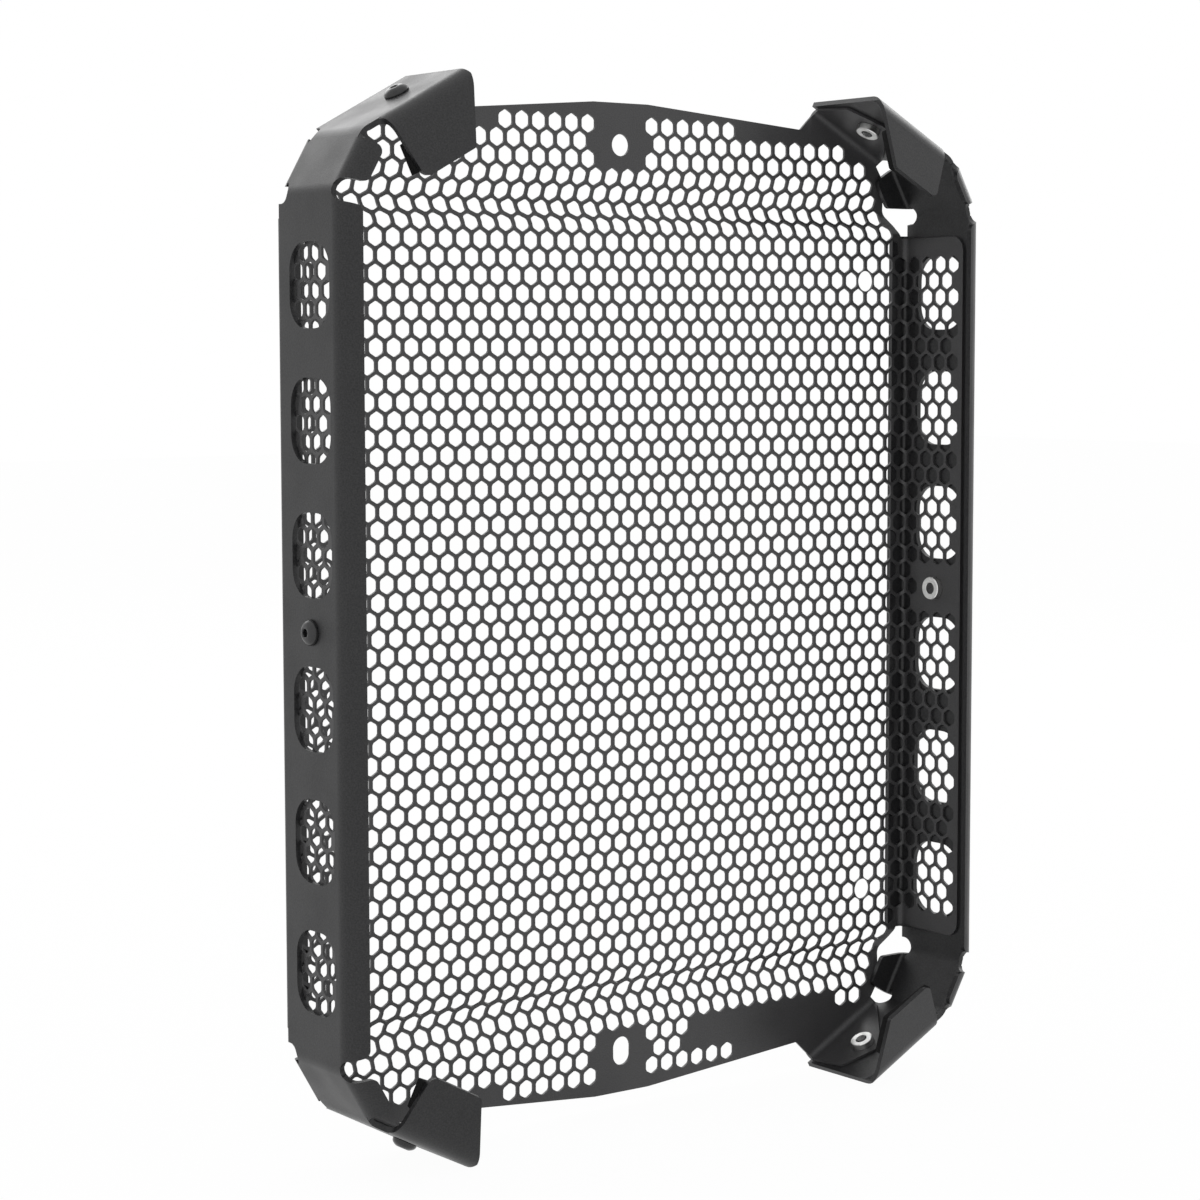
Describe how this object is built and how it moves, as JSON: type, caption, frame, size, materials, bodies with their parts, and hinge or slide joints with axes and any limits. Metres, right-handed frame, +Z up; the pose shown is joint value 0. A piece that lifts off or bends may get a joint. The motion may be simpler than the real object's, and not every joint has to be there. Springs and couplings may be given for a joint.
{
  "type": "motorcycle radiator guard",
  "caption": "Upright radiator guard: a folded hexagon mesh panel held between folded side frames with slanted corner lips, by button head screws in clinch nuts.",
  "frame": {"origin": "middle of the mesh panel, half way through its sheet, at the centre of the rectangle of four round mounting holes", "axes": "+X across the guard, +Z up the long way, -Y towards the open front of the tray"},
  "size_m": [0.3134, 0.054, 0.4012],
  "materials": {
    "mesh": "satin black powder coat on thin perforated sheet",
    "frame": "satin black powder coat with a fine grain on folded sheet",
    "screw": "black oxide steel",
    "nut": "bright zinc plated steel"
  },
  "bodies": {
    "root": {"mesh_panel": "mesh", "frame_left": "frame", "frame_right": "frame", "screw_left_top": "screw", "screw_left_middle": "screw", "screw_left_bottom": "screw", "screw_right_top": "screw", "screw_right_middle": "screw", "screw_right_bottom": "screw", "nut_left_top": "nut", "nut_left_middle": "nut", "nut_left_bottom": "nut", "nut_right_top": "nut", "nut_right_middle": "nut", "nut_right_bottom": "nut"}
  },
  "joints": []
}
